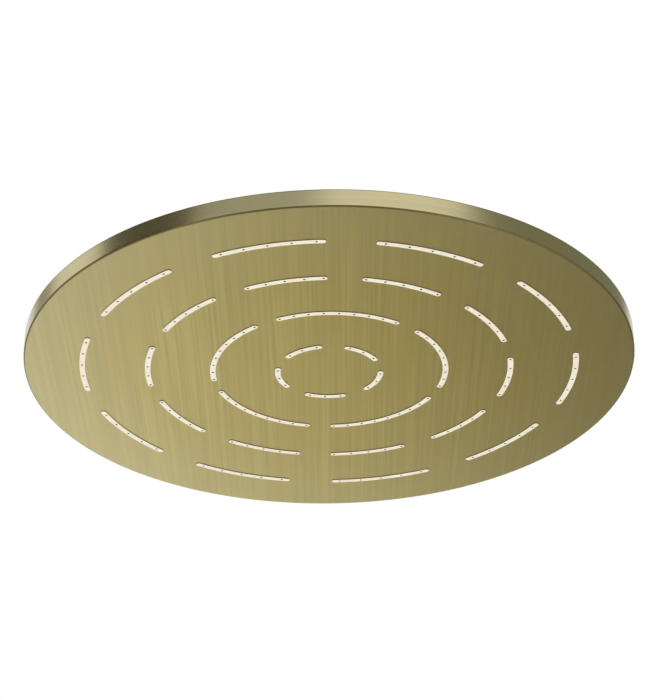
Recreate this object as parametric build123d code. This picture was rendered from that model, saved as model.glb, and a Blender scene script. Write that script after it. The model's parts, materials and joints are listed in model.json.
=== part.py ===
from build123d import *
import os
from math import cos, degrees, radians, sin, sqrt

# Round rain shower head: a thin brushed pan with rings of arc-shaped nozzle strips,
# hung by a ball joint from an inlet with a female G1/2 thread.
# Millimetres. Z is the water axis, up. The origin is where the inlet thread begins.

# Shell of the head
HEAD_DIAMETER = 300.0
HEAD_THICKNESS = 9.0
FACE_WALL = 1.2
RIM_WALL = 1.4
COVER_WALL = 1.2
RIM_LEDGE = 0.7  # width of the step inside the rim that carries the cover
FACE_EDGE_RADIUS = 0.8
COVER_EDGE_RADIUS = 0.3
COVER_CLEARANCE = 0.05

# Rings of nozzle strips, from the innermost ring outwards
INNER_RING_RADIUS = 25.4
OUTER_RING_MARGIN = 28.6  # from the rim to the middle of the outermost ring
STRIPS_PER_RING = (5, 5, 10, 10)
STRIP_SPANS = (47.4, 61.3, 25.6, 25.3)  # degrees from tip to tip
RING_TURNS = (36.0, 0.0, 18.0, 18.0)  # degrees from the front to the first strip
NOZZLES_PER_STRIP = (3, 9, 5, 5)
END_MARGINS = (2.8, 1.7, 1.7, 4.4)  # from a strip's tip to its end nozzle

# Section of a strip, a soft moulding with a bead outside and a flange inside
STRIP_WIDTH = 2.9
STRIP_PROUD = 0.4
STRIP_EDGE_CHAMFER = 0.15
STRIP_LIP = 0.2  # overlap of the bead on the face
STRIP_FLANGE_LIP = 1.0
STRIP_FLANGE_HEIGHT = 1.0
SLOT_CLEARANCE = 0.05
NOZZLE_DIAMETER = 1.1

# Stays that tie the face to the cover
STAY_DIAMETER = 6.0
INNER_STAYS = 5
OUTER_STAYS = 10

# Ball joint
BALL_DIAMETER = 24.0
STEM_DIAMETER = 13.0
WATER_BORE = 9.0
TILT_LIMIT = 15.0  # degrees to every side
TILT_CLEARANCE = 0.4
CUP_GAP = 0.1
SLIDE_GAP = 0.1
SEAL_CORD = 2.0
SEAL_DROP = 4.5  # seal ring below the middle of the ball
SEAL_GAP = 0.05

# Neck that carries the cup, brazed into the cover
NECK_WALL = 2.9
NECK_RISE = 1.5  # above the middle of the ball
NECK_PASSAGE = 13.6
NECK_FLOOR = 3.0
NECK_FLANGE_DIAMETER = 44.0
NECK_FLANGE_HEIGHT = 3.0
NECK_FLANGE_RADIUS = 1.0
SPIGOT_WALL = 2.7

# Slip ring and collar nut over the ball
SLIP_RING_ANGLE = 50.0  # degrees from the axis to the ring's upper edge on the ball
SLIP_RING_GAP = 0.3
NUT_WALL = 3.0
NUT_LIP = 2.5
NUT_THREAD_GAP = 0.1
NUT_EDGE_RADIUS = 3.0
NUT_FLANGE_GAP = 1.5
NUT_FLAT_DEPTH = 1.0
NUT_FLAT_HEIGHT = 8.0

# Inlet with its thread, shown as a plain bore at the thread's inner diameter
INLET_BORE = 18.631
INLET_DEPTH = 9.0
INLET_MOUTH_CHAMFER = 1.0
INLET_RELIEF = 1.4  # depth of the groove past the thread
HEX_WALL = 1.8
HEX_FLOOR = 1.6
HEX_CHAMFER_ANGLE = 30.0

# Washer, screen and flow regulator in the inlet
WASHER_HEIGHT = 2.2
WASHER_BORE = 13.0
WASHER_ROOM = 0.1
SCREEN_HEIGHT = 0.4
SCREEN_HOLE = 1.3
SCREEN_PITCH = 2.1
SCREEN_ROWS = (1, 6, 12)
REGULATOR_DIAMETER = 15.0
REGULATOR_HEIGHT = 3.0
REGULATOR_PORT = 1.8
REGULATOR_PORTS = 6
REGULATOR_PORT_CIRCLE = 5.6
REGULATOR_DISH = 1.2
INSERT_CLEARANCE = 0.15

# Heights and radii that follow
ball_r = BALL_DIAMETER / 2
cup_r = ball_r + CUP_GAP
stem_r = STEM_DIAMETER / 2
water_r = WATER_BORE / 2
neck_r = cup_r + NECK_WALL
passage_r = NECK_PASSAGE / 2
spigot_r = passage_r + SPIGOT_WALL
flange_r = NECK_FLANGE_DIAMETER / 2
tilt = radians(TILT_LIMIT)

slide_r = ball_r + SLIDE_GAP
lip_under = slide_r * cos(radians(SLIP_RING_ANGLE))  # above the middle of the ball
nut_top = lip_under + NUT_LIP
nut_bore_r = neck_r + NUT_THREAD_GAP
nut_r = nut_bore_r + NUT_WALL
mouth_r = (stem_r + TILT_CLEARANCE + nut_top * sin(tilt)) / cos(tilt)
nut_edge_reach = (nut_top - NUT_EDGE_RADIUS) * cos(tilt) + (nut_r - NUT_EDGE_RADIUS) * sin(tilt)
stem_top = nut_edge_reach + NUT_EDGE_RADIUS + TILT_CLEARANCE

inlet_r = INLET_BORE / 2
relief_r = inlet_r + INLET_RELIEF
hex_r = relief_r + HEX_WALL  # to the flats
regulator_r = REGULATOR_DIAMETER / 2
mouth_z = INLET_MOUTH_CHAMFER
relief_z = -INLET_DEPTH
seat_z = relief_z - WASHER_HEIGHT - SCREEN_HEIGHT - WASHER_ROOM
regulator_z = seat_z - REGULATOR_HEIGHT - INSERT_CLEARANCE
hex_z = regulator_z - HEX_FLOOR
ball_z = hex_z - stem_top
cup_edge = sqrt(cup_r**2 - passage_r**2)  # below the middle of the ball
rim_z = ball_z - cup_edge - NECK_FLOOR
flange_z = rim_z + NECK_FLANGE_HEIGHT
cover_z = rim_z - COVER_WALL
face_z = rim_z - HEAD_THICKNESS
chamber_z = face_z + FACE_WALL

head_r = HEAD_DIAMETER / 2
cavity_r = head_r - RIM_WALL
ledge_r = cavity_r + RIM_LEDGE
ring_count = len(STRIPS_PER_RING)
ring_step = (head_r - OUTER_RING_MARGIN - INNER_RING_RADIUS) / (ring_count - 1)
ring_radii = [INNER_RING_RADIUS + ring_step * ring for ring in range(ring_count)]
strip_neck = STRIP_WIDTH - 2 * STRIP_LIP
slot_width = strip_neck + 2 * SLOT_CLEARANCE
FRONT = -90.0  # direction of the front, in degrees from +X


def turned(*outline):
    """Solid of revolution about Z from a closed outline of (radius, height) points."""
    points = [(radius, 0, height) for radius, height in outline]
    return revolve(make_face(Polyline(points, close=True)), Axis.Z)


def at_height(shape, height, pick):
    """Edges of a shape whose middle lies at a height, picked from the inside outwards."""
    level = shape.edges().filter_by_position(Axis.Z, height - 0.001, height + 0.001)
    return level.sort_by(SortBy.LENGTH)[pick]


def strip_sweep(ring):
    """Degrees between the middles of a strip's rounded ends."""
    return STRIP_SPANS[ring] - degrees(STRIP_WIDTH / ring_radii[ring])


def arc_slot(ring, width):
    """Round-ended arc on a ring's middle line, centred on the front."""
    sweep = strip_sweep(ring)
    middle = CenterArc((0, 0), ring_radii[ring], FRONT - sweep / 2, sweep)
    return SlotArc(middle, width)


def strip_turns(ring):
    """Turn of every strip of a ring, in degrees from the front."""
    count = STRIPS_PER_RING[ring]
    return [RING_TURNS[ring] + 360 / count * index for index in range(count)]


def around(circle_radius, count, turn=0.0):
    """Places evenly round a circle, the first one a turn away from the front."""
    return PolarLocations(circle_radius, count, start_angle=FRONT + turn)


def face_pan():
    """Face and rim in one drawn pan, with a slot for every strip."""
    pan = turned(
        (0, face_z),
        (head_r, face_z),
        (head_r, rim_z),
        (ledge_r, rim_z),
        (ledge_r, cover_z),
        (cavity_r, cover_z),
        (cavity_r, chamber_z),
        (0, chamber_z),
    )
    pan = fillet(at_height(pan, face_z, -1), FACE_EDGE_RADIUS)
    pan = fillet(at_height(pan, rim_z, -1), COVER_EDGE_RADIUS)
    slots = Sketch()
    for ring in range(ring_count):
        slot = arc_slot(ring, slot_width)
        slots += [Rot(0, 0, turn) * slot for turn in strip_turns(ring)]
    return pan - extrude(Pos(0, 0, face_z) * slots, FACE_WALL)


def back_cover():
    """Flat plate that closes the pan, with a hole for the neck's spigot."""
    outer = ledge_r - COVER_CLEARANCE
    inner = spigot_r + COVER_CLEARANCE
    return turned((inner, cover_z), (outer, cover_z), (outer, rim_z), (inner, rim_z))


def stays():
    """Short posts between face and cover, in two circles midway between rings of strips."""
    height = cover_z - chamber_z
    post = Cylinder(STAY_DIAMETER / 2, height, align=(Align.CENTER, Align.CENTER, Align.MIN))
    inner = around((ring_radii[0] + ring_radii[1]) / 2, INNER_STAYS)
    outer = around((ring_radii[-2] + ring_radii[-1]) / 2, OUTER_STAYS)
    places = [*inner.locations, *outer.locations]
    return Compound([Pos(0, 0, chamber_z) * place * post for place in places])


def nozzle_strip(ring):
    """Strip of a ring at the front: bead outside, neck in the slot, flange inside, and its nozzles."""
    bead = extrude(Pos(0, 0, face_z - STRIP_PROUD) * arc_slot(ring, STRIP_WIDTH), STRIP_PROUD)
    bead = chamfer(bead.faces().sort_by(Axis.Z)[0].edges(), STRIP_EDGE_CHAMFER)
    neck = extrude(Pos(0, 0, face_z) * arc_slot(ring, strip_neck), FACE_WALL)
    flange_width = strip_neck + 2 * STRIP_FLANGE_LIP
    flange = extrude(Pos(0, 0, chamber_z) * arc_slot(ring, flange_width), STRIP_FLANGE_HEIGHT)
    radius = ring_radii[ring]
    reach = radians(STRIP_SPANS[ring] / 2) - END_MARGINS[ring] / radius
    count = NOZZLES_PER_STRIP[ring]
    depth = STRIP_PROUD + FACE_WALL + STRIP_FLANGE_HEIGHT
    hole = Cylinder(NOZZLE_DIAMETER / 2, depth, align=(Align.CENTER, Align.CENTER, Align.MIN))
    holes = []
    for index in range(count):
        angle = radians(FRONT) + reach * (2 * index / (count - 1) - 1)
        holes.append(Pos(radius * cos(angle), radius * sin(angle), face_z - STRIP_PROUD) * hole)
    return bead + neck + flange - holes


def inlet_neck():
    """Turned neck with a flange on the cover, a spigot through it and the lower cup of the ball."""
    neck = turned(
        (passage_r, cover_z),
        (spigot_r, cover_z),
        (spigot_r, rim_z),
        (flange_r, rim_z),
        (flange_r, flange_z),
        (neck_r, flange_z),
        (neck_r, ball_z + NECK_RISE),
        (passage_r, ball_z + NECK_RISE),
    )
    neck = fillet(at_height(neck, flange_z, -1), NECK_FLANGE_RADIUS)
    throat = Cylinder(cup_r, NECK_RISE, align=(Align.CENTER, Align.CENTER, Align.MIN))
    return neck - Pos(0, 0, ball_z) * (Sphere(cup_r) + throat)


def slip_ring():
    """Plain bearing ring on the upper half of the ball, under the nut's lip."""
    lower = ball_z + NECK_RISE + SLIP_RING_GAP
    upper = ball_z + lip_under
    inner = slide_r * sin(radians(SLIP_RING_ANGLE))
    ring = turned((inner, lower), (neck_r, lower), (neck_r, upper), (inner, upper))
    return ring - Pos(0, 0, ball_z) * Sphere(slide_r)


def collar_nut():
    """Ring nut over the neck's thread, with a mouth that lets the stem tilt and two spanner flats."""
    foot = flange_z + NUT_FLANGE_GAP
    nut = turned(
        (nut_bore_r, foot),
        (nut_r, foot),
        (nut_r, ball_z + nut_top),
        (mouth_r, ball_z + nut_top),
        (mouth_r, ball_z + lip_under),
        (nut_bore_r, ball_z + lip_under),
    )
    nut = fillet(at_height(nut, ball_z + nut_top, -1), NUT_EDGE_RADIUS)
    cut = Box(2 * nut_r, nut_r, NUT_FLAT_HEIGHT, align=(Align.CENTER, Align.MIN, Align.MIN))
    cut = Pos(0, nut_r - NUT_FLAT_DEPTH, foot) * cut
    return nut - [cut, mirror(cut, Plane.XZ)]


def ball_inlet():
    """Hexagon with the inlet bore, a stem and the ball, bored through for the water."""
    height = mouth_z - hex_z
    hexagon = extrude(Pos(0, 0, hex_z) * RegularPolygon(hex_r, 6, major_radius=False), height)
    corner_r = hex_r / cos(radians(30))
    drop = (corner_r - hex_r) * sin(radians(HEX_CHAMFER_ANGLE)) / cos(radians(HEX_CHAMFER_ANGLE))
    hexagon &= turned(
        (0, hex_z),
        (hex_r, hex_z),
        (corner_r, hex_z + drop),
        (corner_r, mouth_z - drop),
        (hex_r, mouth_z),
        (0, mouth_z),
    )
    stem = turned((0, ball_z), (stem_r, ball_z), (stem_r, hex_z), (0, hex_z))
    waterway = turned(
        (0, mouth_z),
        (inlet_r + INLET_MOUTH_CHAMFER, mouth_z),
        (inlet_r, 0),
        (inlet_r, relief_z),
        (relief_r, relief_z),
        (relief_r, seat_z),
        (regulator_r, seat_z),
        (regulator_r, regulator_z),
        (water_r, regulator_z),
        (water_r, ball_z - ball_r),
        (0, ball_z - ball_r),
    )
    floor = seal_ring_radius() - SEAL_CORD / 2 - SEAL_GAP
    upper = ball_z - SEAL_DROP + SEAL_CORD / 2 + SEAL_GAP
    lower = ball_z - SEAL_DROP - SEAL_CORD / 2 - SEAL_GAP
    groove = turned((floor, lower), (cup_r, lower), (cup_r, upper), (floor, upper))
    return hexagon + stem + Pos(0, 0, ball_z) * Sphere(ball_r) - waterway - groove


def seal_ring_radius():
    """Radius of the seal ring's middle line, so that the ring meets the cup."""
    return sqrt((cup_r - SEAL_GAP - SEAL_CORD / 2) ** 2 - SEAL_DROP**2)


def ball_seal():
    """Round rubber ring in the ball's groove."""
    return Pos(0, 0, ball_z - SEAL_DROP) * Torus(seal_ring_radius(), SEAL_CORD / 2)


def inlet_washer():
    """Flat rubber washer that seals on the supply pipe's end."""
    lower = seat_z + SCREEN_HEIGHT
    upper = lower + WASHER_HEIGHT
    outer = relief_r - INSERT_CLEARANCE
    inner = WASHER_BORE / 2
    return turned((inner, lower), (outer, lower), (outer, upper), (inner, upper))


def inlet_screen():
    """Pierced steel disc under the washer that keeps grit out."""
    upper = seat_z + SCREEN_HEIGHT
    outer = relief_r - INSERT_CLEARANCE
    disc = turned((0, seat_z), (outer, seat_z), (outer, upper), (0, upper))
    hole = Cylinder(SCREEN_HOLE / 2, SCREEN_HEIGHT, align=(Align.CENTER, Align.CENTER, Align.MIN))
    holes = []
    for row, count in enumerate(SCREEN_ROWS):
        places = around(row * SCREEN_PITCH, count).locations
        holes += [Pos(0, 0, seat_z) * place * hole for place in places]
    return disc - holes


def flow_regulator():
    """Moulded disc under the screen, dished on top, with a circle of small ports."""
    outer = regulator_r - INSERT_CLEARANCE
    upper = regulator_z + REGULATOR_HEIGHT
    dish_r = REGULATOR_PORT_CIRCLE / 2 + REGULATOR_PORT
    disc = turned(
        (0, regulator_z),
        (outer, regulator_z),
        (outer, upper),
        (dish_r, upper),
        (dish_r, upper - REGULATOR_DISH),
        (0, upper - REGULATOR_DISH),
    )
    port = Cylinder(REGULATOR_PORT / 2, REGULATOR_HEIGHT, align=(Align.CENTER, Align.CENTER, Align.MIN))
    places = around(REGULATOR_PORT_CIRCLE / 2, REGULATOR_PORTS).locations
    return disc - [Pos(0, 0, regulator_z) * place * port for place in places]


def shower_head():
    """Every piece of the head by its name."""
    pieces = {
        "face_pan": face_pan(),
        "back_cover": back_cover(),
        "stay_posts": stays(),
        "inlet_neck": inlet_neck(),
        "slip_ring": slip_ring(),
        "collar_nut": collar_nut(),
        "ball_inlet": ball_inlet(),
        "ball_seal": ball_seal(),
        "inlet_washer": inlet_washer(),
        "inlet_screen": inlet_screen(),
        "flow_regulator": flow_regulator(),
    }
    for ring in range(ring_count):
        strip = nozzle_strip(ring)
        for index, turn in enumerate(strip_turns(ring)):
            pieces[f"nozzle_strip_{ring + 1}_{index + 1}"] = Rot(0, 0, turn) * strip
    return pieces


os.makedirs("parts", exist_ok=True)
for name, piece in shower_head().items():
    export_step(piece, f"parts/{name}.step")
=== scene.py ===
import json
from math import atan2, cos, hypot, pi, radians, remainder, sin, sqrt, tan, tau

import bmesh
import bpy
from bpy.props import FloatProperty, FloatVectorProperty, IntVectorProperty, PointerProperty
from bpy.types import Operator, Panel, PropertyGroup
from mathutils import Matrix, Quaternion, Vector


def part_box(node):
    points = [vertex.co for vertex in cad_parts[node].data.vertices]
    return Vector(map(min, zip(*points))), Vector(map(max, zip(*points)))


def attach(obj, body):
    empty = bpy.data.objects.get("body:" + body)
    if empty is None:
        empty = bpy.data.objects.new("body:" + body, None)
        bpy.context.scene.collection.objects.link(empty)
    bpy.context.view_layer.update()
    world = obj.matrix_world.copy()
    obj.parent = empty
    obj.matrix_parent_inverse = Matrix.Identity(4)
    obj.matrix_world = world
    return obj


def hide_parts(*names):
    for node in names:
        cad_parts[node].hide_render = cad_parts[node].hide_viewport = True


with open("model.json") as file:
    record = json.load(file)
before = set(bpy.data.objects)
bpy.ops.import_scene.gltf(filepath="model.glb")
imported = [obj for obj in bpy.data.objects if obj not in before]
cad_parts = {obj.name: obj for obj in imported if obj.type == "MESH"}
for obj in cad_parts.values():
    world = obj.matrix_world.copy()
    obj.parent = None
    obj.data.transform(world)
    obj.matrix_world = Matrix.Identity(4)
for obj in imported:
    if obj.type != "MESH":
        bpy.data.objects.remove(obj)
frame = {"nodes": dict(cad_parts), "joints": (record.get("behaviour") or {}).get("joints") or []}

# Looks of a round rain shower head: a thin brushed pan with rings of soft nozzle strips,
# hung by a ball joint from a threaded inlet. Everything is in metres, in the frame of the CAD model.

bl_info = {
    "name": "Rain shower head",
    "version": (1, 0, 0),
    "blender": (4, 5, 0),
    "location": "View3D > Sidebar > Shower head",
    "description": "Dresses the packed shower head and sets up its studio",
    "category": "Object",
}

MM = 0.001
BRUSH_MAP = "brush"  # UV map with U across the brush lines and V along them, in metres
PAINTED_EDGE_SHADE = "painted_edge_shade"  # attribute that is 1 on rounded edges, which painted shade makes dark in place of their dark reflection
LEVEL = "level"  # attribute of a face: 1 where it lies level, 0 where it is a wall
LEVEL_FROM = 0.9  # from here on a face is brushed as a level one
FRONT = -pi / 2  # direction of the front, from +X
PAN_STEPS = 288
TURNED_STEPS = 120
THREAD_STEPS = 60
ROUND_STEPS = 6
CORNER_STEPS = 3
BALL_STEPS = 16
HOLE_STEPS = 18
STRIP_STEP = 1.6 * MM  # length of a step along a strip
STRIP_END_STEPS = 12
FLOOR_STEPS = 96
WELD = 1e-7
SHARP_ANGLE = radians(32)

# Width and length of the brush lines, and the noise values between which each kind lies
FINE_LINES = (0.6 * MM, 90 * MM)
STREAKS = (2 * MM, 220 * MM)
BANDS = (11 * MM, 120 * MM)
NOISE_SPAN = (0.35, 0.65)
BAND_SPAN = (0.45, 0.7)
GRAIN_SPAN = (0.3, 0.7)
LEVEL_SPAN = (0.4, 0.8)  # from a wall's finish to that of a level face
# Roughness, size of the grain and its relief on moulded pieces
SILICONE_GRAIN = (0.48, 0.5 * MM, 0.02 * MM)
RUBBER_GRAIN = (0.6, 0.3 * MM, 0.03 * MM)
ACETAL_GRAIN = (0.35, 0.8 * MM, 0.01 * MM)
PLASTIC_GRAIN = (0.42, 0.6 * MM, 0.02 * MM)
CLOUD_SIZE = 9 * MM
CLOUD_SHADE = 0.93  # of a moulded colour, in its darker clouds
MOULDED_BUMP = 0.2
BORE_SHADE_SPAN = (0.06 * MM, 0.24 * MM)  # heights over a strip's outside between which painted shade darkens a bore
STEEL_GRAIN = 0.6 * MM
STEEL_SHADE = 0.88  # of the steel's colour, in its darker grain
STEEL_ROUGHNESS = 0.29
GRAIN_DETAIL = 3.0
GRAIN_SWING = 0.05  # how far a grain changes the roughness to both sides
MIX_FIRST, MIX_SECOND, MIX_RESULT = 6, 7, 2  # places of the colour sockets on a Mix node
NEAREST, FURTHEST = 0.01, 100  # what the camera sees, in metres

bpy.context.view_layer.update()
PAN_LOW, PAN_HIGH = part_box("face_pan")
COVER_LOW, COVER_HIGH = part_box("back_cover")
STRIP_LOW, STRIP_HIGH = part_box("nozzle_strip_2_1")
NECK_LOW, NECK_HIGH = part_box("inlet_neck")
NUT_LOW, NUT_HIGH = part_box("collar_nut")
INLET_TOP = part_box("ball_inlet")[1].z
BALL_Z = frame["joints"][0]["pos_m"][2]


def metres(name, description, value):
    """Length property with a default in metres, as the frame and the studio have them."""
    return FloatProperty(name=name, description=description, default=value, unit="LENGTH", precision=5)


def length(name, description, millimetres):
    """Length property with a default in millimetres."""
    return metres(name, description, millimetres * MM)


def angle(name, description, degrees):
    """Angle property with a default in degrees."""
    return FloatProperty(
        name=name, description=description, default=radians(degrees), subtype="ANGLE", unit="ROTATION"
    )


def lengths(name, description, millimetres):
    """Row of lengths, one for every ring of strips, with defaults in millimetres."""
    return FloatVectorProperty(
        name=name,
        description=description,
        default=[value * MM for value in millimetres],
        size=len(millimetres),
        unit="LENGTH",
        precision=5,
    )


def angles(name, description, degrees):
    """Row of angles, one for every ring of strips, with defaults in degrees."""
    return FloatVectorProperty(
        name=name,
        description=description,
        default=[radians(value) for value in degrees],
        size=len(degrees),
        unit="ROTATION",
    )


def numbers(name, description, values):
    """Row of whole numbers, one for every ring of strips."""
    return IntVectorProperty(name=name, description=description, default=values, size=len(values))


def share(name, description, value):
    """Property that is a plain factor."""
    return FloatProperty(
        name=name, description=description, default=value, subtype="FACTOR", min=0, max=1
    )


def colour(name, description, red, green, blue):
    """Colour property in linear light."""
    return FloatVectorProperty(
        name=name,
        description=description,
        default=(red, green, blue),
        subtype="COLOR",
        size=3,
        min=0,
        max=1,
    )


class ShellSizes(PropertyGroup):
    """Sizes of the pan and its cover."""

    radius: metres("Head radius", "Outside of the rim", PAN_HIGH.x)
    face_wall: length("Face wall", "Thickness of the face", 1.2)
    rim_wall: length("Rim wall", "Thickness of the rim under the ledge", 1.4)
    ledge: length("Ledge", "Width of the step that carries the cover", 0.7)
    face_edge: length("Face edge", "Rounding between face and rim", 0.8)
    cover_edge: length("Cover edge", "Rounding at the top of the rim", 0.3)
    # The darker line at the top of the rim is painted shade, in place of the dark reflection there.
    rim_shade_line: length("Rim line", "Width of the darker line at the top of the rim", 0.6)
    plate_edge: length("Plate edge", "Rounding of the cover's edges", 0.12)
    brush_turn: angle("Brush turn", "Turn of the brush lines on face and cover from front to back", -5.1)


class StripSizes(PropertyGroup):
    """Sizes of the nozzle strips, ring by ring from the innermost."""

    radii: lengths("Ring radii", "Middle line of every ring", (25.4, 57.4, 89.4, 121.4))
    counts: numbers("Strips", "Strips in every ring", (5, 5, 10, 10))
    spans: angles("Spans", "Angle of a strip from tip to tip", (47.4, 61.3, 25.6, 25.3))
    turns: angles("Turns", "Angle from the front to the first strip", (36.0, 0.0, 18.0, 18.0))
    nozzles: numbers("Nozzles", "Nozzles in every strip", (3, 9, 5, 5))
    margins: lengths("End margins", "From a strip's tip to its end nozzle", (2.8, 1.7, 1.7, 4.4))
    width: length("Bead width", "Width of the bead on the face", 2.9)
    lip: length("Lip", "Overlap of the bead on the face", 0.2)
    slot_gap: length("Slot gap", "Room round the strip in its slot", 0.05)
    flange_lip: length("Flange lip", "Overlap of the flange behind the face", 1.0)
    round: length("Bead rounding", "Rounding of the bead's outer edge", 0.22)
    hole: length("Nozzle hole", "Diameter of a nozzle's hole", 1.1)
    hole_mouth: length("Nozzle mouth", "Widening of a hole at the bead", 0.12)


class FittingSizes(PropertyGroup):
    """Sizes of the neck, the nut and the inlet."""

    ball: length("Ball radius", "Radius of the ball", 12.0)
    cup_gap: length("Cup gap", "Room between ball and cup", 0.1)
    neck_wall: length("Neck wall", "Wall of the neck round the cup", 2.9)
    passage: length("Passage", "Radius of the water passage in the neck", 6.8)
    spigot: length("Spigot", "Radius of the neck's end in the cover", 9.5)
    flange_height: length("Flange height", "Height of the neck's flange", 3.0)
    flange_edge: length("Flange edge", "Rounding of the neck's flange", 1.0)
    nut_gap: length("Nut gap", "Room between neck and nut", 0.1)
    nut_lip: length("Nut lip", "Height of the nut's lip over the slip ring", 2.5)
    nut_mouth: length("Nut mouth", "Radius of the nut's mouth", 9.897)
    nut_edge: length("Nut edge", "Rounding of the nut's shoulder", 3.0)
    nut_break: length("Nut edge break", "Rounding of the nut's other edges", 0.25)
    flat_depth: length("Flat depth", "Depth of the nut's spanner flats", 1.0)
    flat_height: length("Flat height", "Height of the nut's spanner flats", 8.0)
    stem: length("Stem", "Radius of the stem", 6.5)
    water: length("Water bore", "Radius of the bore through stem and ball", 4.5)
    seal_drop: length("Seal drop", "From the middle of the ball down to the seal groove", 4.5)
    seal_groove: length("Seal groove", "Height of the seal groove", 2.1)
    seal_floor: length("Seal floor", "Radius of the seal groove's floor", 8.964)
    hex_flat: length("Hexagon", "From the middle to a flat", 12.5155)
    hex_low: length("Hexagon foot", "Height of the hexagon's underside", -16.45)
    hex_chamfer: angle("Hexagon chamfer", "Slope of the hexagon's chamfers", 30)
    hex_edge: length("Hexagon edge", "Rounding of the hexagon's corners", 0.25)
    bore: length("Inlet bore", "Radius of the inlet at the thread's crests", 9.3155)
    mouth: length("Mouth chamfer", "Chamfer at the inlet's mouth", 1.0)
    depth: length("Inlet depth", "Length of the inlet bore", 9.0)
    relief: length("Relief", "Depth of the groove past the thread", 1.4)
    seat: length("Seat", "Height of the seat under washer and screen", -11.7)
    regulator: length("Regulator pocket", "Radius of the regulator's pocket", 7.5)
    regulator_low: length("Regulator floor", "Height of the floor under the regulator", -14.85)
    thread_pitch: length("Thread pitch", "From one thread crest to the next", 1.814)
    thread_depth: length("Thread depth", "From the thread's crests to its roots", 1.162)
    thread_flank: angle("Thread flank", "Slope of a thread flank", 27.5)
    thread_land: length("Thread land", "Plain bore before and after the thread", 0.5)
    thread_round: length("Thread crest", "Rounding of the thread's crests", 0.1)


class Finishes(PropertyGroup):
    """Colours of the materials, in linear light, and the gold coat's other values."""

    gold_light: colour("Gold, light lines", "Bright brush lines of the gold coat", 0.592, 0.521, 0.258)
    gold_dark: colour("Gold, dark lines", "Dark brush lines of the gold coat", 0.504, 0.441, 0.21)
    gold_warm: colour("Gold, warm bands", "Broad warmer bands of the gold coat", 0.55, 0.464, 0.211)
    # Painted sheen: the coat goes paler towards the rim, in place of the paler reflection there.
    gold_painted_sheen: colour("Gold, pale", "Paler gold that the coat nears towards the rim", 0.59, 0.545, 0.348)
    # Painted shade: rounded edges coloured dark in place of their dark reflection.
    gold_painted_edge_shade: colour("Gold, edges", "Rounded edges that the brush doesn't reach", 0.19, 0.155, 0.06)
    gold_roughness: share("Gold roughness", "Roughness of the gold coat on level faces", 0.295)
    gold_wall_roughness: share("Gold wall roughness", "Roughness of the gold coat on turned walls", 0.24)
    gold_unevenness: share("Gold unevenness", "How far the brush lines change the roughness", 0.015)
    gold_stretch: share("Gold stretch", "How far the brush lines stretch a highlight", 0.3)
    gold_bump: share("Gold bump", "Strength of the brush lines' relief", 0.06)
    gold_depth: length("Gold relief", "Depth of the brush lines", 0.02)
    gold_warmth: share("Gold warmth", "Share of the warm colour in the broad bands", 0.6)
    # Share and start of that painted sheen towards the rim.
    gold_painted_sheen_share: share("Gold paleness", "Share of the pale colour at the rim", 0.5)
    gold_painted_sheen_start: share("Gold pale start", "Share of the radius where the pale colour begins", 0.55)
    cream: colour("Cream silicone", "Nozzle strips", 0.93, 0.855, 0.7)
    # Painted shade: the dark colour deep in a nozzle's bore, in place of the shade that falls there.
    bore: colour("Nozzle bore", "Silicone deep in a nozzle", 0.05, 0.035, 0.025)
    steel: colour("Plain steel", "Stays and screen", 0.56, 0.56, 0.54)
    rubber: colour("Black rubber", "Seal and washer", 0.02, 0.02, 0.021)
    acetal: colour("White acetal", "Slip ring", 0.78, 0.78, 0.75)
    grey_plastic: colour("Grey plastic", "Flow regulator", 0.4, 0.43, 0.46)


class Studio(PropertyGroup):
    """Camera, floor and light."""

    lens: FloatProperty(
        name="Lens", description="Focal length on a 36 mm sensor", default=122.17, unit="CAMERA"
    )
    distance: metres("Camera distance", "From the middle of the face", 1.1728)
    below: angle("Camera below", "Angle of the camera below the face", 28.939)
    round: angle("Camera round", "Turn of the camera round the head", -5.11)
    lift: angle("Camera lift", "Aim above the middle of the face", 0.5242)
    swing: angle("Camera swing", "Aim to the side of the middle of the face", -0.1774)
    roll: angle("Camera roll", "Roll of the camera about its aim", -0.7191)
    floor_drop: metres("Floor", "Depth of the floor under the inlet", 2.1)
    floor_radius: metres("Floor radius", "Radius of the floor", 30.0)
    floor_colour: colour("Floor colour", "Pale floor", 0.88, 0.88, 0.87)
    room_light: share("Room light", "Even light of the room on matt surfaces", 0.8)
    haze: colour("Haze", "Tone of the backdrop where it meets the floor", 0.723, 0.723, 0.716)
    haze_rise: angle("Haze rise", "Height at which the backdrop has gone over to white", 13)


def new_object(name, bm, material):
    """Object of the scene made from a bmesh, which is freed."""
    mesh = bpy.data.meshes.new(name)
    bm.to_mesh(mesh)
    bm.free()
    mesh.materials.append(material)
    made = bpy.data.objects.new(name, mesh)
    bpy.context.scene.collection.objects.link(made)
    return made


def add_piece(name, bm, material, body, slot, *nodes):
    """Make a piece of the object from a bmesh: it rides on a body and stands for CAD nodes."""
    piece = new_object(name, bm, material)
    piece.data.shade_smooth()
    piece.data.set_sharp_from_angle(angle=SHARP_ANGLE)
    shading = piece.modifiers.new("level faces stay level", "WEIGHTED_NORMAL")
    shading.keep_sharp = True
    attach(piece, body)
    if nodes:
        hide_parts(*nodes)


def dress(node, material):
    """Give a CAD node its material."""
    node_object = frame["nodes"].get(node)
    if node_object is None:
        raise RuntimeError(f"the frame has no node named {node}")
    slots = node_object.material_slots
    if slots:
        for slot in slots:
            slot.material = material
    else:
        node_object.data.materials.append(material)


def close_mesh(bm):
    """Merge what meets and turn the faces outwards."""
    bmesh.ops.remove_doubles(bm, verts=bm.verts, dist=WELD)
    bmesh.ops.recalc_face_normals(bm, faces=bm.faces)


def turn_round(bm, turn):
    """Turn everything about the upright axis."""
    bmesh.ops.rotate(bm, cent=(0, 0, 0), matrix=Matrix.Rotation(turn, 3, "Z"), verts=bm.verts)


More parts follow.
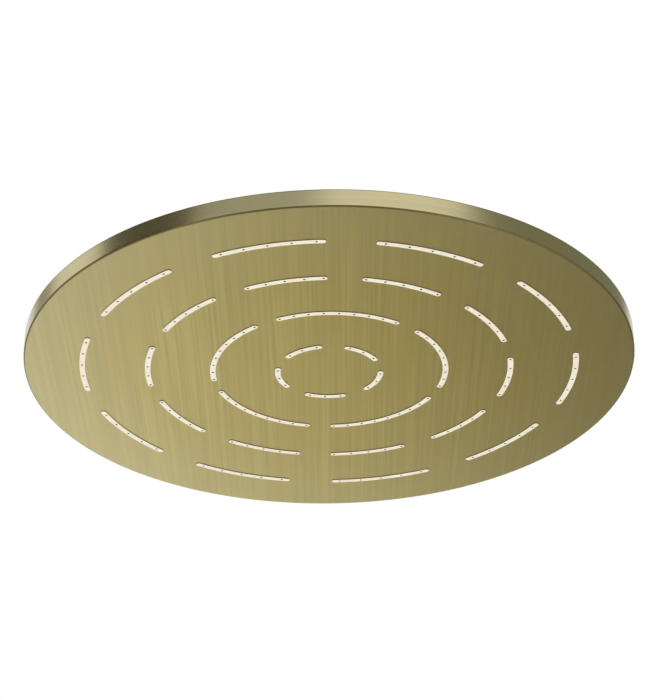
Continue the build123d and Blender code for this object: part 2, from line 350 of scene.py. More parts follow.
def carry_out(bm, radius, turn):
    """Carry what stands on the axis out to a radius and round to a turn."""
    bmesh.ops.translate(bm, vec=(radius, 0, 0), verts=bm.verts)
    turn_round(bm, turn)


def round_off(bm, geom, size, steps, affect):
    """Round vertices or edges to a size."""
    bmesh.ops.bevel(
        bm,
        geom=geom,
        offset=size,
        offset_type="OFFSET",
        segments=steps,
        profile=0.5,
        affect=affect,
        material=-1,
    )


def cut_flat(bm, place, facing):
    """Cut off what lies beyond a plane and close the cut."""
    cut = bmesh.ops.bisect_plane(
        bm,
        geom=bm.verts[:] + bm.edges[:] + bm.faces[:],
        dist=WELD,
        plane_co=place,
        plane_no=facing,
        clear_outer=True,
    )
    edges = [item for item in cut["geom_cut"] if isinstance(item, bmesh.types.BMEdge)]
    bmesh.ops.edgeloop_fill(bm, edges=edges)


def wire(bm, outline, closed=True):
    """Line through (across, height) points in the XZ plane, rounded where a point has a third value."""
    verts = [bm.verts.new((point[0], 0, point[1])) for point in outline]
    ends = verts[1:] + verts[:1] if closed else verts[1:]
    for start, end in zip(verts, ends):
        bm.edges.new((start, end))
    for vert, point in zip(verts, outline):
        if len(point) == 3:
            round_off(bm, [vert], point[2], ROUND_STEPS, "VERTICES")
    return bm.verts[:] + bm.edges[:]


def lathe(outline, steps, closed=True):
    """Full turn about Z of an outline of (radius, height) points."""
    bm = bmesh.new()
    line = wire(bm, outline, closed)
    bmesh.ops.spin(
        bm, geom=line, cent=(0, 0, 0), axis=(0, 0, 1), angle=tau, steps=steps, use_merge=True
    )
    close_mesh(bm)
    return bm


def ball_arc(radius, start, end):
    """Points on the outline of ball or cup between two heights from its middle."""
    first = atan2(start, sqrt(radius**2 - start**2))
    last = atan2(end, sqrt(radius**2 - end**2))
    turns = [first + (last - first) * step / BALL_STEPS for step in range(BALL_STEPS + 1)]
    return [(radius * cos(turn), BALL_Z + radius * sin(turn)) for turn in turns]


def cut_away(bm, cutters):
    """Cut closed shapes out of a closed shape and return what is left as a new bmesh."""
    whole_mesh = bpy.data.meshes.new("whole")
    cut_mesh = bpy.data.meshes.new("cut")
    bm.to_mesh(whole_mesh)
    bm.free()
    cutters.to_mesh(cut_mesh)
    cutters.free()
    whole = bpy.data.objects.new("whole", whole_mesh)
    cut = bpy.data.objects.new("cut", cut_mesh)
    for item in (whole, cut):
        bpy.context.scene.collection.objects.link(item)
    difference = whole.modifiers.new("difference", "BOOLEAN")
    difference.operation = "DIFFERENCE"
    difference.solver = "EXACT"
    difference.object = cut
    depsgraph = bpy.context.evaluated_depsgraph_get()
    left = bmesh.new()
    left.from_mesh(whole.evaluated_get(depsgraph).to_mesh())
    for item, mesh in ((whole, whole_mesh), (cut, cut_mesh)):
        bpy.data.objects.remove(item)
        bpy.data.meshes.remove(mesh)
    if not left.faces:
        raise RuntimeError("nothing was left after a cut")
    return left


def map_brush(bm, straight_turn=None):
    """Lay the brush map: round the axis, or straight on level faces where a turn is given."""
    layer = bm.loops.layers.uv.new(BRUSH_MAP)
    level = bm.faces.layers.float.new(LEVEL)
    for face in bm.faces:
        face[level] = abs(face.normal.z)
        middle = face.calc_center_median()
        straight = straight_turn is not None and abs(face.normal.z) > LEVEL_FROM
        base = atan2(middle.y, middle.x)
        reach = hypot(middle.x, middle.y)
        for loop in face.loops:
            spot = loop.vert.co
            if straight:
                across = spot.x * cos(straight_turn) + spot.y * sin(straight_turn)
                along = spot.y * cos(straight_turn) - spot.x * sin(straight_turn)
            else:
                radius = hypot(spot.x, spot.y)
                turn = remainder(atan2(spot.y, spot.x) - base, tau) if radius > WELD else 0
                across = spot.z - radius
                along = (base + turn) * reach
            loop[layer].uv = (across, along)


def mark_painted_edge_shade(bm, low, high, radius):
    """Mark the outside of a turned piece between two heights, for painted edge shade."""
    layer = bm.verts.layers.float.get(PAINTED_EDGE_SHADE) or bm.verts.layers.float.new(PAINTED_EDGE_SHADE)
    for vert in bm.verts:
        inside = radius - hypot(vert.co.x, vert.co.y)
        if inside < high - low and low + WELD < vert.co.z < high - WELD:
            vert[layer] = 1


def sweep_arc(bm, section, radius, sweep):
    """Sweep a half section along a ring's middle line, centred on the front, with round ends.

    The section's points are (distance from the middle line, height), from the lower to the upper end.
    """
    steps = round(sweep * radius / STRIP_STEP)
    start = FRONT - sweep / 2
    for side in (1, -1):
        half = bmesh.new()
        line = wire(half, section, closed=False)
        bmesh.ops.scale(half, vec=(side, 1, 1), verts=half.verts)
        carry_out(half, radius, start)
        bmesh.ops.spin(half, geom=line, cent=(0, 0, 0), axis=(0, 0, 1), angle=sweep, steps=steps)
        join(bm, half)
    for end, turn in ((-1, start), (1, start + sweep)):
        half = bmesh.new()
        line = wire(half, section, closed=False)
        bmesh.ops.spin(
            half, geom=line, cent=(0, 0, 0), axis=(0, 0, 1), angle=end * pi, steps=STRIP_END_STEPS
        )
        carry_out(half, radius, turn)
        join(bm, half)
    close_mesh(bm)


def join(bm, other):
    """Add the geometry of another bmesh and free it."""
    mesh = bpy.data.meshes.new("join")
    other.to_mesh(mesh)
    other.free()
    bm.from_mesh(mesh)
    bpy.data.meshes.remove(mesh)


def strip_sweep(sizes, ring):
    """Angle between the middles of a strip's round ends."""
    return sizes.spans[ring] - sizes.width / sizes.radii[ring]


def strip_turns(sizes, ring):
    """Turn of every strip of a ring from the front."""
    count = sizes.counts[ring]
    return [sizes.turns[ring] + tau / count * index for index in range(count)]


def add_node(tree, kind, **settings):
    """New node with its settings."""
    node = tree.nodes.new(kind)
    for key, value in settings.items():
        setattr(node, key, value)
    return node


def set_inputs(node, **values):
    """Set inputs of a node by name, with underscores for spaces."""
    for key, value in values.items():
        node.inputs[key.replace("_", " ")].default_value = value


def new_material(name):
    """Empty material with its Principled shader and node tree."""
    material = bpy.data.materials.new(name)
    material.use_nodes = True
    tree = material.node_tree
    return material, tree, tree.nodes["Principled BSDF"]


def arithmetic(tree, operation, first, second):
    """Math node between two sockets or numbers, as a socket."""
    node = add_node(tree, "ShaderNodeMath", operation=operation)
    for socket, value in zip(node.inputs, (first, second)):
        if isinstance(value, (int, float)):
            socket.default_value = value
        else:
            tree.links.new(value, socket)
    return node.outputs[0]


def blend_colours(tree, factor, first, second):
    """Mix node between two colours or sockets, as a socket."""
    node = add_node(tree, "ShaderNodeMix", data_type="RGBA")
    tree.links.new(factor, node.inputs["Factor"])
    for place, value in ((MIX_FIRST, first), (MIX_SECOND, second)):
        if isinstance(value, bpy.types.NodeSocket):
            tree.links.new(value, node.inputs[place])
        else:
            node.inputs[place].default_value = (*value, 1)
    return node.outputs[MIX_RESULT]


def ranged(tree, value, low, high, new_low, new_high, course="LINEAR"):
    """Map Range node, as a socket."""
    node = add_node(tree, "ShaderNodeMapRange", interpolation_type=course)
    tree.links.new(value, node.inputs["Value"])
    set_inputs(node, From_Min=low, From_Max=high, To_Min=new_low, To_Max=new_high)
    return node.outputs[0]


def bump(tree, height, strength, distance):
    """Bump node on a height, as a socket."""
    node = add_node(tree, "ShaderNodeBump")
    set_inputs(node, Strength=strength, Distance=distance)
    tree.links.new(height, node.inputs["Height"])
    return node.outputs["Normal"]


def coordinates(tree, kind="Object"):
    """Texture coordinates of a kind, as a socket."""
    return add_node(tree, "ShaderNodeTexCoord").outputs[kind]


def axes_of(tree, vector):
    """X, Y and Z of a vector socket, as sockets by name."""
    node = add_node(tree, "ShaderNodeSeparateXYZ")
    tree.links.new(vector, node.inputs["Vector"])
    return node.outputs


def attribute(tree, name):
    """Attribute of the piece, as a socket."""
    return add_node(tree, "ShaderNodeAttribute", attribute_name=name).outputs["Fac"]


def noise(tree, vector, scale, detail=2.0):
    """Noise texture on a vector socket, as a socket."""
    node = add_node(tree, "ShaderNodeTexNoise")
    set_inputs(node, Scale=scale, Detail=detail)
    tree.links.new(vector, node.inputs["Vector"])
    return node.outputs["Fac"]


def brush_lines(tree, line_width, line_length):
    """Noise drawn out along the brush lines, with lines of a width and a length, as a socket."""
    place = axes_of(tree, coordinates(tree))
    brush = axes_of(tree, add_node(tree, "ShaderNodeUVMap", uv_map=BRUSH_MAP).outputs["UV"])
    vector = add_node(tree, "ShaderNodeCombineXYZ")
    parts = ((place["X"], line_length), (place["Y"], line_length), (brush["X"], line_width))
    for socket, (value, size) in zip(vector.inputs, parts):
        tree.links.new(arithmetic(tree, "DIVIDE", value, size), socket)
    return noise(tree, vector.outputs[0], 1.0, detail=0.0)


def off_axis(tree):
    """Distance from the upright axis, as a socket."""
    flat = add_node(tree, "ShaderNodeVectorMath", operation="MULTIPLY")
    tree.links.new(coordinates(tree), flat.inputs[0])
    flat.inputs[1].default_value = (1, 1, 0)
    distance = add_node(tree, "ShaderNodeVectorMath", operation="LENGTH")
    tree.links.new(flat.outputs["Vector"], distance.inputs[0])
    return distance.outputs["Value"]


def grained(tree, grain, roughness):
    """Roughness that a grain changes a little, as a socket."""
    return ranged(tree, grain, *GRAIN_SPAN, roughness - GRAIN_SWING, roughness + GRAIN_SWING)


def shaded(tree, factor, tone, dark_share):
    """Colour that falls to a share of itself where the factor is 0, as a socket."""
    darker = [part * dark_share for part in tone]
    return blend_colours(tree, factor, darker, tone)


def brushed_gold(name, finishes):
    """Gold coat over brushed metal: fine lines, broader streaks and warm bands along the brush map, with
    a painted sheen towards the rim and painted shade on rounded edges.
    """
    material, tree, shader = new_material(name)
    half_fine = arithmetic(tree, "MULTIPLY", brush_lines(tree, *FINE_LINES), 0.5)
    half_streak = arithmetic(tree, "MULTIPLY", brush_lines(tree, *STREAKS), 0.5)
    both = arithmetic(tree, "ADD", half_fine, half_streak)
    lines = ranged(tree, both, *NOISE_SPAN, 0, 1)
    lined = blend_colours(tree, lines, finishes.gold_dark, finishes.gold_light)
    warmth = ranged(tree, brush_lines(tree, *BANDS), *BAND_SPAN, 0, finishes.gold_warmth)
    banded = blend_colours(tree, warmth, lined, finishes.gold_warm)
    # Painted sheen: paler towards the rim, in place of the paler reflection that the rim shows.
    painted_sheen_start = finishes.gold_painted_sheen_start * PAN_HIGH.x
    painted_sheen_share = ranged(tree, off_axis(tree), painted_sheen_start, PAN_HIGH.x, 0, finishes.gold_painted_sheen_share)
    brushed = blend_colours(tree, painted_sheen_share, banded, finishes.gold_painted_sheen)
    # Painted shade: the marked rounded edges go dark, in place of their dark reflection.
    with_painted_edge_shade = blend_colours(tree, attribute(tree, PAINTED_EDGE_SHADE), brushed, finishes.gold_painted_edge_shade)
    tree.links.new(with_painted_edge_shade, shader.inputs["Base Color"])
    level = attribute(tree, LEVEL)
    rough = ranged(tree, level, *LEVEL_SPAN, finishes.gold_wall_roughness, finishes.gold_roughness)
    uneven = ranged(tree, both, *NOISE_SPAN, finishes.gold_unevenness, -finishes.gold_unevenness)
    tree.links.new(arithmetic(tree, "ADD", rough, uneven), shader.inputs["Roughness"])
    relief = bump(tree, both, finishes.gold_bump, finishes.gold_depth)
    tree.links.new(relief, shader.inputs["Normal"])
    tangent = add_node(tree, "ShaderNodeTangent", direction_type="UV_MAP", uv_map=BRUSH_MAP)
    tree.links.new(tangent.outputs[0], shader.inputs["Tangent"])
    set_inputs(shader, Metallic=1.0, Anisotropic=finishes.gold_stretch)
    return material


def moulded(name, shade, roughness, grain, relief):
    """Moulded soft or hard plastic with a faint uneven tone and a fine grain."""
    material, tree, shader = new_material(name)
    cloud = ranged(tree, noise(tree, coordinates(tree), 1 / CLOUD_SIZE), *NOISE_SPAN, 0, 1)
    fine = noise(tree, coordinates(tree), 1 / grain, detail=GRAIN_DETAIL)
    tree.links.new(shaded(tree, cloud, shade, CLOUD_SHADE), shader.inputs["Base Color"])
    tree.links.new(grained(tree, fine, roughness), shader.inputs["Roughness"])
    tree.links.new(bump(tree, fine, MOULDED_BUMP, relief), shader.inputs["Normal"])
    return material


def soft_silicone(name, finishes, outside):
    """Cream silicone, with painted shade that darkens the bores above the height of its outside."""
    material = moulded(name, finishes.cream, *SILICONE_GRAIN)
    tree = material.node_tree
    shader = tree.nodes["Principled BSDF"]
    cream = shader.inputs["Base Color"].links[0].from_socket
    height = axes_of(tree, coordinates(tree))["Z"]
    # Painted shade: deeper in a bore, the colour goes over to the dark bore colour.
    depth = ranged(tree, height, outside + BORE_SHADE_SPAN[0], outside + BORE_SHADE_SPAN[1], 0, 1)
    tree.links.new(blend_colours(tree, depth, cream, finishes.bore), shader.inputs["Base Color"])
    set_inputs(shader, Subsurface_Weight=0.08, Subsurface_Scale=0.6 * MM)
    return material


def plain_steel(name, finishes):
    """Rolled stainless steel with a faint grain."""
    material, tree, shader = new_material(name)
    grain = noise(tree, coordinates(tree), 1 / STEEL_GRAIN, detail=GRAIN_DETAIL)
    tree.links.new(shaded(tree, grain, finishes.steel, STEEL_SHADE), shader.inputs["Base Color"])
    tree.links.new(grained(tree, grain, STEEL_ROUGHNESS), shader.inputs["Roughness"])
    set_inputs(shader, Metallic=1.0)
    return material


def kept_material(name, make, *details):
    """Material by its name, made on first use."""
    return bpy.data.materials.get(name) or make(name, *details)


def gold(context):
    """The brushed gold coat."""
    return kept_material("brushed_gold", brushed_gold, context.scene.shower_finishes)


class SHOWER_OT_face_pan(Operator):
    """Make the brushed pan with a slot for every strip"""

    bl_idname = "shower.face_pan"
    bl_label = "Face pan"

    def execute(self, context):
        shell = context.scene.shower_shell
        sizes = context.scene.shower_strips
        face, rim, cover = PAN_LOW.z, PAN_HIGH.z, COVER_LOW.z
        chamber = face + shell.face_wall
        cavity = shell.radius - shell.rim_wall
        ledge = cavity + shell.ledge
        pan = lathe(
            [
                (0, face),
                (shell.radius, face, shell.face_edge),
                (shell.radius, rim - shell.rim_shade_line),
                (shell.radius, rim, shell.cover_edge),
                (ledge, rim),
                (ledge, cover),
                (cavity, cover),
                (cavity, chamber),
                (0, chamber),
            ],
            PAN_STEPS,
            closed=False,
        )
        slots = bmesh.new()
        half = sizes.width / 2 - sizes.lip + sizes.slot_gap
        section = [
            (0, face - shell.face_wall),
            (half, face - shell.face_wall),
            (half, chamber + shell.face_wall),
            (0, chamber + shell.face_wall),
        ]
        for ring, radius in enumerate(sizes.radii):
            for turn in strip_turns(sizes, ring):
                slot = bmesh.new()
                sweep_arc(slot, section, radius, strip_sweep(sizes, ring))
                turn_round(slot, turn)
                join(slots, slot)
        pan = cut_away(pan, slots)
        map_brush(pan, shell.brush_turn)
        # Painted shade on the rounding under the face and on a band at the top of the rim.
        mark_painted_edge_shade(pan, face, face + shell.face_edge, shell.radius)
        mark_painted_edge_shade(pan, rim - shell.rim_shade_line, rim, shell.radius)
        add_piece("brushed_pan", pan, gold(context), "head", "brushed_shell", "face_pan")
        return {"FINISHED"}


class SHOWER_OT_back_cover(Operator):
    """Make the brushed plate that closes the pan"""

    bl_idname = "shower.back_cover"
    bl_label = "Back cover"

    def execute(self, context):
        shell = context.scene.shower_shell
        fitting = context.scene.shower_fittings
        low, high = COVER_LOW.z, COVER_HIGH.z
        outer = COVER_HIGH.x
        inner = fitting.spigot + (shell.radius - shell.rim_wall + shell.ledge - outer)
        plate = lathe(
            [
                (inner, low),
                (outer, low),
                (outer, high, shell.plate_edge),
                (inner, high),
            ],
            PAN_STEPS,
        )
        map_brush(plate, shell.brush_turn)
        add_piece("brushed_cover", plate, gold(context), "head", "brushed_shell", "back_cover")
        return {"FINISHED"}


class SHOWER_OT_nozzle_strips(Operator):
    """Make the soft strips with their nozzles, ring by ring"""

    bl_idname = "shower.nozzle_strips"
    bl_label = "Nozzle strips"

    def execute(self, context):
        shell = context.scene.shower_shell
        sizes = context.scene.shower_strips
        finishes = context.scene.shower_finishes
        silicone = kept_material("cream_silicone", soft_silicone, finishes, STRIP_LOW.z)
        face = PAN_LOW.z
        chamber = face + shell.face_wall
        bead = sizes.width / 2
        neck = bead - sizes.lip
        flange = neck + sizes.flange_lip
        section = [
            (0, STRIP_LOW.z),
            (bead, STRIP_LOW.z, sizes.round),
            (bead, face),
            (neck, face),
            (neck, chamber),
            (flange, chamber),
            (flange, STRIP_HIGH.z),
            (0, STRIP_HIGH.z),
        ]
        for ring, radius in enumerate(sizes.radii):
            strip = bmesh.new()
            sweep_arc(strip, section, radius, strip_sweep(sizes, ring))
            strip = cut_away(strip, self.nozzles(sizes, ring))
            for index, turn in enumerate(strip_turns(sizes, ring)):
                copy = strip.copy()
                turn_round(copy, turn)
                place = f"{ring + 1}_{index + 1}"
                name, node = f"soft_strip_{place}", f"nozzle_strip_{place}"
                add_piece(name, copy, silicone, "head", "soft_nozzle", node)
            strip.free()
        return {"FINISHED"}

    def nozzles(self, sizes, ring):
        """Cutters for the nozzles of the strip at the front, a little wider at the bead."""
        radius = sizes.radii[ring]
        reach = sizes.spans[ring] / 2 - sizes.margins[ring] / radius
        count = sizes.nozzles[ring]
        bore = sizes.hole / 2
        mouth = bore + sizes.hole_mouth
        over = 0.2 * MM  # how far a cutter stands out of the strip
        holes = bmesh.new()
        for index in range(count):
            turn = FRONT + reach * (2 * index / (count - 1) - 1)
            hole = lathe(
                [
                    (0, STRIP_LOW.z - over),
                    (mouth + over, STRIP_LOW.z - over),
                    (bore, STRIP_LOW.z + sizes.hole_mouth),
                    (bore, STRIP_HIGH.z + over),
                    (0, STRIP_HIGH.z + over),
                ],
                HOLE_STEPS,
                closed=False,
            )
            place = (radius * cos(turn), radius * sin(turn), 0)
            bmesh.ops.translate(hole, vec=place, verts=hole.verts)
            join(holes, hole)
        return holes


class SHOWER_OT_neck(Operator):
    """Make the turned neck on the cover"""

    bl_idname = "shower.neck"
    bl_label = "Neck"

    def execute(self, context):
        fitting = context.scene.shower_fittings
        rim = COVER_HIGH.z
        cup = fitting.ball + fitting.cup_gap
        neck = cup + fitting.neck_wall
        flange = NECK_HIGH.x
        flange_top = rim + fitting.flange_height
        cup_low = -sqrt(cup**2 - fitting.passage**2)
        outline = [
            (fitting.passage, NECK_LOW.z),
            (fitting.spigot, NECK_LOW.z),
            (fitting.spigot, rim),
            (flange, rim),
            (flange, flange_top, fitting.flange_edge),
            (neck, flange_top),
            (neck, NECK_HIGH.z),
            (cup, NECK_HIGH.z),
        ]
        outline += reversed(ball_arc(cup, cup_low, 0))
        turned = lathe(outline, TURNED_STEPS)
        map_brush(turned)
        add_piece("turned_neck", turned, gold(context), "head", "brushed_fitting", "inlet_neck")
        return {"FINISHED"}


class SHOWER_OT_collar_nut(Operator):
    """Make the collar nut with its two spanner flats"""

    bl_idname = "shower.collar_nut"
    bl_label = "Collar nut"

    def execute(self, context):
        fitting = context.scene.shower_fittings
        low, high = NUT_LOW.z, NUT_HIGH.z
        bore = fitting.ball + fitting.cup_gap + fitting.neck_wall + fitting.nut_gap
        outer = NUT_HIGH.x
        nut = lathe(
            [
                (bore, low),
                (outer, low, fitting.nut_break),
                (outer, high, fitting.nut_edge),
                (fitting.nut_mouth, high, fitting.nut_break),
                (fitting.nut_mouth, high - fitting.nut_lip),
                (bore, high - fitting.nut_lip),
            ],
            TURNED_STEPS,
        )
        flats = bmesh.new()
        for side in (-1, 1):
            block = bmesh.new()
            bmesh.ops.create_cube(block, size=1)
            bmesh.ops.scale(
                block, vec=(4 * outer, 2 * outer, 2 * fitting.flat_height), verts=block.verts
            )
            middle = (0, side * (2 * outer - fitting.flat_depth), low)
            bmesh.ops.translate(block, vec=middle, verts=block.verts)
            join(flats, block)
        nut = cut_away(nut, flats)
        map_brush(nut)
        add_piece("turned_nut", nut, gold(context), "head", "brushed_fitting", "collar_nut")
        return {"FINISHED"}


class SHOWER_OT_inlet(Operator):
    """Make the inlet: hexagon, stem and ball in one, and the thread in its bore"""

    bl_idname = "shower.inlet"
    bl_label = "Threaded inlet"

    def execute(self, context):
        fitting = context.scene.shower_fittings
        coat = gold(context)
        body = self.body(fitting)
        add_piece("threaded_inlet", body, coat, "inlet", "brushed_fitting", "ball_inlet")
        add_piece("inlet_thread", self.thread(fitting), coat, "inlet", "brushed_fitting")
        return {"FINISHED"}

    def body(self, fitting):
        """Turned blank with six flats."""
        ball = fitting.ball
        flat = fitting.hex_flat
        corner = flat / cos(pi / 6)
        drop = (corner - flat) * tan(fitting.hex_chamfer)
        low, high = fitting.hex_low, INLET_TOP
        root = fitting.bore + fitting.thread_depth
        relief = fitting.bore + fitting.relief
        groove_low = -fitting.seal_drop - fitting.seal_groove / 2
        groove_high = -fitting.seal_drop + fitting.seal_groove / 2
        outline = ball_arc(ball, -sqrt(ball**2 - fitting.water**2), groove_low)
        outline += [
            (fitting.seal_floor, BALL_Z + groove_low),
            (fitting.seal_floor, BALL_Z + groove_high),
        ]
        outline += ball_arc(ball, groove_high, sqrt(ball**2 - fitting.stem**2))
        outline += [
            (fitting.stem, low),
            (flat, low),
            (corner, low + drop),
            (corner, high - drop),
            (flat, high),
            (fitting.bore + fitting.mouth, high),
            (fitting.bore, high - fitting.mouth),
            (fitting.bore, high - fitting.mouth - fitting.thread_land / 2),
            (root, high - fitting.mouth - fitting.thread_land),
            (root, -fitting.depth + fitting.thread_land),
            (fitting.bore, -fitting.depth + fitting.thread_land / 2),
            (fitting.bore, -fitting.depth),
            (relief, -fitting.depth),
            (relief, fitting.seat),
            (fitting.regulator, fitting.seat),
            (fitting.regulator, fitting.regulator_low),
            (fitting.water, fitting.regulator_low),
        ]
        blank = lathe(outline, TURNED_STEPS)
        for index in range(6):
            turn = pi / 6 + index * pi / 3
            facing = Vector((cos(turn), sin(turn), 0))
            cut_flat(blank, facing * flat, facing)
        close_mesh(blank)
        corners = [
            edge
            for edge in blank.edges
            if edge.is_manifold
            and abs(edge.verts[0].co.z - edge.verts[1].co.z) > (high - low) / 2
            and hypot(*edge.verts[0].co.xy) > flat
        ]
        round_off(blank, corners, fitting.hex_edge, CORNER_STEPS, "EDGES")
        map_brush(blank)
        return blank

    def thread(self, fitting):
        """Ridge of the thread, wound down the bore and cut off level at both ends."""
        crest = fitting.bore
        root = crest + fitting.thread_depth
        flank = fitting.thread_depth * tan(fitting.thread_flank)
        half_crest = (fitting.thread_pitch / 2 - flank) / 2
        half_root = half_crest + flank
        inside = 0.1 * MM  # how far the ridge stands in the wall
        top = INLET_TOP - fitting.mouth - fitting.thread_land / 2
        bottom = -fitting.depth + fitting.thread_land / 2
        turns = int((top - bottom) / fitting.thread_pitch) + 3  # past both ends
        ridge = bmesh.new()
        section = wire(
            ridge,
            [
                (root + inside, half_root),
                (root, half_root),
                (crest, half_crest, fitting.thread_round),
                (crest, -half_crest, fitting.thread_round),
                (root, -half_root),
                (root + inside, -half_root),
            ],
        )
        bmesh.ops.translate(ridge, vec=(0, 0, bottom - fitting.thread_pitch), verts=ridge.verts)
        bmesh.ops.spin(
            ridge,
            geom=section,
            cent=(0, 0, 0),
            axis=(0, 0, 1),
            dvec=(0, 0, fitting.thread_pitch / THREAD_STEPS),
            angle=turns * tau,
            steps=turns * THREAD_STEPS,
        )
        for height, facing in ((top, 1), (bottom, -1)):
            cut_flat(ridge, (0, 0, height), (0, 0, facing))
        close_mesh(ridge)
        map_brush(ridge)
        return ridge


class SHOWER_OT_inner_parts(Operator):
    """Give the stays, rings, washer, screen and regulator their materials"""

    bl_idname = "shower.inner_parts"
    bl_label = "Inner parts"

    def execute(self, context):
        finishes = context.scene.shower_finishes
        steel = kept_material("plain_steel", plain_steel, finishes)
        rubber = kept_material("black_rubber", moulded, finishes.rubber, *RUBBER_GRAIN)
        acetal = kept_material("white_acetal", moulded, finishes.acetal, *ACETAL_GRAIN)
        grey = kept_material("grey_plastic", moulded, finishes.grey_plastic, *PLASTIC_GRAIN)
        finish_of = {
            "stay_posts": steel,
            "inlet_screen": steel,
            "ball_seal": rubber,
            "inlet_washer": rubber,
            "slip_ring": acetal,
            "flow_regulator": grey,
        }
        for node, material in finish_of.items():
            dress(node, material)
        return {"FINISHED"}


# Lamps: name, turn from the camera's side and rise in degrees, distance, size, brightness,
# and whether metal mirrors it
LAMPS = (
    ("sky_light", 0, 89, 3.0, 4.0, 2.1, False),
    ("left_light", 201, -16, 3.0, 1.5, 0.3, True),
    ("low_light", -40, -35, 2.4, 0.9, 3.0, False),
)
# Flags: name, turn and rise in degrees, distance, width, height, soft edge, shade, density
FLAGS = (
    ("warm_flag", 178, -31, 2.9, 1.6, 1.2, 0.6, (0.8, 0.66, 0.08), 0.8),
    ("low_flag", 153, -36, 2.7, 2.7, 2.5, 0.7, (0.15, 0.125, 0.01), 1.0),
    ("floor_flag", 196, -50, 2.2, 3.4, 1.6, 0.7, (0.22, 0.21, 0.19), 0.95),
    ("dark_flag", -68, 29, 2.2, 1.5, 4.4, 0.08, (0.1, 0.095, 0.07), 1.0),
    ("half_flag", -25, 29, 2.3, 1.9, 3.8, 0.3, (0.1, 0.1, 0.1), 0.53),
    ("right_flag", 100, 29, 2.2, 4.2, 2.8, 0.5, (0.18, 0.185, 0.13), 0.92),
    ("left_flag", -130, 29, 2.4, 0.9, 2.8, 0.25, (0.2, 0.18, 0.1), 0.9),
    ("front_flag", 0, -55, 1.9, 2.2, 1.6, 0.4, (0.08, 0.07, 0.04), 0.9),
)


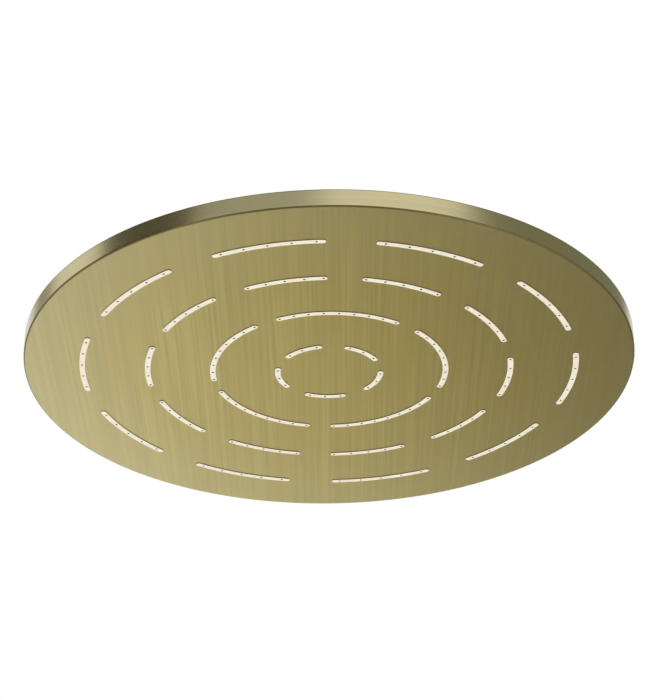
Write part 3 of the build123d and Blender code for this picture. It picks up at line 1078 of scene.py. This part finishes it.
class SHOWER_OT_stage(Operator):
    """Set up the floor, the light and the camera"""

    bl_idname = "shower.stage"
    bl_label = "Stage"

    def execute(self, context):
        studio = context.scene.shower_studio
        self.floor(studio)
        self.world(context, studio)
        for lamp in LAMPS:
            self.lamp(context, studio, *lamp)
        for flag in FLAGS:
            self.flag(studio, *flag)
        self.camera(context, studio)
        context.scene.view_settings.view_transform = "Standard"
        return {"FINISHED"}

    def floor(self, studio):
        """Plain pale floor under the head."""
        bm = bmesh.new()
        bmesh.ops.create_circle(
            bm, cap_ends=True, radius=studio.floor_radius, segments=FLOOR_STEPS
        )
        bmesh.ops.translate(bm, vec=(0, 0, -studio.floor_drop), verts=bm.verts)
        material, _, shader = new_material("pale_floor")
        set_inputs(shader, Base_Color=(*studio.floor_colour, 1), Roughness=0.9)
        floor = new_object("floor", bm, material)

    def world(self, context, studio):
        """White room with a soft horizon: strength 1 to look at, weaker as light on matt surfaces."""
        world = bpy.data.worlds.new("white_room")
        context.scene.world = world
        world.use_nodes = True
        tree = world.node_tree
        seen = tree.nodes["Background"]
        set_inputs(seen, Strength=1.0)
        upwards = axes_of(tree, coordinates(tree, "Generated"))["Z"]
        rise = ranged(tree, upwards, 0, sin(studio.haze_rise), 0, 1, "SMOOTHSTEP")
        tree.links.new(blend_colours(tree, rise, studio.haze, (1, 1, 1)), seen.inputs["Color"])
        light = add_node(tree, "ShaderNodeBackground")
        set_inputs(light, Color=(1, 1, 1, 1), Strength=studio.room_light)
        path = add_node(tree, "ShaderNodeLightPath").outputs
        plain = arithmetic(tree, "MAXIMUM", path["Is Camera Ray"], path["Is Glossy Ray"])
        plain = arithmetic(tree, "MAXIMUM", plain, path["Is Transmission Ray"])
        mix = add_node(tree, "ShaderNodeMixShader")
        tree.links.new(plain, mix.inputs[0])
        tree.links.new(light.outputs[0], mix.inputs[1])
        tree.links.new(seen.outputs[0], mix.inputs[2])
        tree.links.new(mix.outputs[0], tree.nodes["World Output"].inputs["Surface"])

    def facing_head(self, studio, turn, rise, distance):
        """Place at a turn from the camera's side, a rise and a distance, turned to face the head."""
        turn = radians(turn) + studio.round
        rise = radians(rise)
        away = Vector((sin(turn) * cos(rise), -cos(turn) * cos(rise), sin(rise)))
        face = Vector((0, 0, PAN_LOW.z))
        towards_head = away.to_track_quat("Z", "Y").to_matrix().to_4x4()
        return Matrix.Translation(face + away * distance) @ towards_head

    def lamp(self, context, studio, name, turn, rise, distance, size, brightness, mirrored):
        """Soft square lamp of a brightness that faces the head."""
        light = bpy.data.lights.new(name, "AREA")
        light.size = size
        light.energy = brightness * pi * size**2
        lamp = bpy.data.objects.new(name, light)
        lamp.matrix_world = self.facing_head(studio, turn, rise, distance)
        lamp.visible_glossy = mirrored
        context.scene.collection.objects.link(lamp)

    def flag(self, studio, name, turn, rise, distance, width, height, soft, shade, density):
        """Card with soft edges that only reflections show, as a studio has beside a shiny piece."""
        bm = bmesh.new()
        bmesh.ops.create_grid(bm, x_segments=1, y_segments=1, size=0.5)
        bmesh.ops.scale(bm, vec=(width, height, 1), verts=bm.verts)
        material, tree, shader = new_material(name)
        tree.nodes.remove(shader)
        card = new_object(name, bm, material)
        card.matrix_world = self.facing_head(studio, turn, rise, distance)
        card.visible_camera = False
        card.visible_diffuse = False
        card.visible_shadow = False
        place = axes_of(tree, coordinates(tree))
        cover = density
        for axis, size in (("X", width), ("Y", height)):
            off_middle = arithmetic(tree, "ABSOLUTE", place[axis], 0)
            inside = ranged(tree, off_middle, size / 2, size / 2 - soft, 0, 1)
            cover = arithmetic(tree, "MULTIPLY", inside, cover)
        clear = add_node(tree, "ShaderNodeBsdfTransparent")
        tone = add_node(tree, "ShaderNodeEmission")
        set_inputs(tone, Color=(*shade, 1), Strength=1.0)
        mix = add_node(tree, "ShaderNodeMixShader")
        tree.links.new(cover, mix.inputs[0])
        tree.links.new(clear.outputs[0], mix.inputs[1])
        tree.links.new(tone.outputs[0], mix.inputs[2])
        tree.links.new(mix.outputs[0], tree.nodes["Material Output"].inputs["Surface"])

    def camera(self, context, studio):
        """Camera below the face, as the photograph was taken."""
        face = Vector((0, 0, PAN_LOW.z))
        turn = Matrix.Rotation(studio.round, 3, "Z")
        place = Vector((0, -cos(studio.below), -sin(studio.below))) * studio.distance
        rise = studio.below + studio.lift
        aim = Vector((sin(studio.swing) * cos(rise), cos(studio.swing) * cos(rise), sin(rise)))
        data = bpy.data.cameras.new("camera")
        data.lens = studio.lens
        data.clip_start = NEAREST
        data.clip_end = FURTHEST
        camera = bpy.data.objects.new("camera", data)
        camera.location = face + turn @ place
        camera.rotation_mode = "QUATERNION"
        facing = (turn @ aim).to_track_quat("-Z", "Y")
        camera.rotation_quaternion = facing @ Quaternion((0, 0, 1), studio.roll)
        context.scene.collection.objects.link(camera)
        context.scene.camera = camera


OPERATORS = (
    SHOWER_OT_face_pan,
    SHOWER_OT_back_cover,
    SHOWER_OT_nozzle_strips,
    SHOWER_OT_neck,
    SHOWER_OT_collar_nut,
    SHOWER_OT_inlet,
    SHOWER_OT_inner_parts,
    SHOWER_OT_stage,
)
SETTINGS = {
    "shower_shell": ShellSizes,
    "shower_strips": StripSizes,
    "shower_fittings": FittingSizes,
    "shower_finishes": Finishes,
    "shower_studio": Studio,
}


class SHOWER_PT_panel(Panel):
    """Operators of the shower head"""

    bl_idname = "SHOWER_PT_panel"
    bl_label = "Shower head"
    bl_space_type = "VIEW_3D"
    bl_region_type = "UI"
    bl_category = "Shower head"

    def draw(self, context):
        for operator in OPERATORS:
            self.layout.operator(operator.bl_idname)
        for name in SETTINGS:
            settings = getattr(context.scene, name)
            box = self.layout.box()
            for key in settings.__annotations__:
                box.prop(settings, key)


def register():
    """Register the settings, the operators and the panel."""
    for name, settings in SETTINGS.items():
        bpy.utils.register_class(settings)
        setattr(bpy.types.Scene, name, PointerProperty(type=settings))
    for part in (*OPERATORS, SHOWER_PT_panel):
        bpy.utils.register_class(part)


def unregister():
    """Take out what register put in."""
    for part in (SHOWER_PT_panel, *reversed(OPERATORS)):
        bpy.utils.unregister_class(part)
    for name, settings in SETTINGS.items():
        delattr(bpy.types.Scene, name)
        bpy.utils.unregister_class(settings)


def main():
    """Register, make every piece and the stage."""
    register()
    bpy.ops.shower.face_pan()
    bpy.ops.shower.back_cover()
    bpy.ops.shower.nozzle_strips()
    bpy.ops.shower.neck()
    bpy.ops.shower.collar_nut()
    bpy.ops.shower.inlet()
    bpy.ops.shower.inner_parts()
    bpy.ops.shower.stage()


if __name__ == "__main__":
    main()
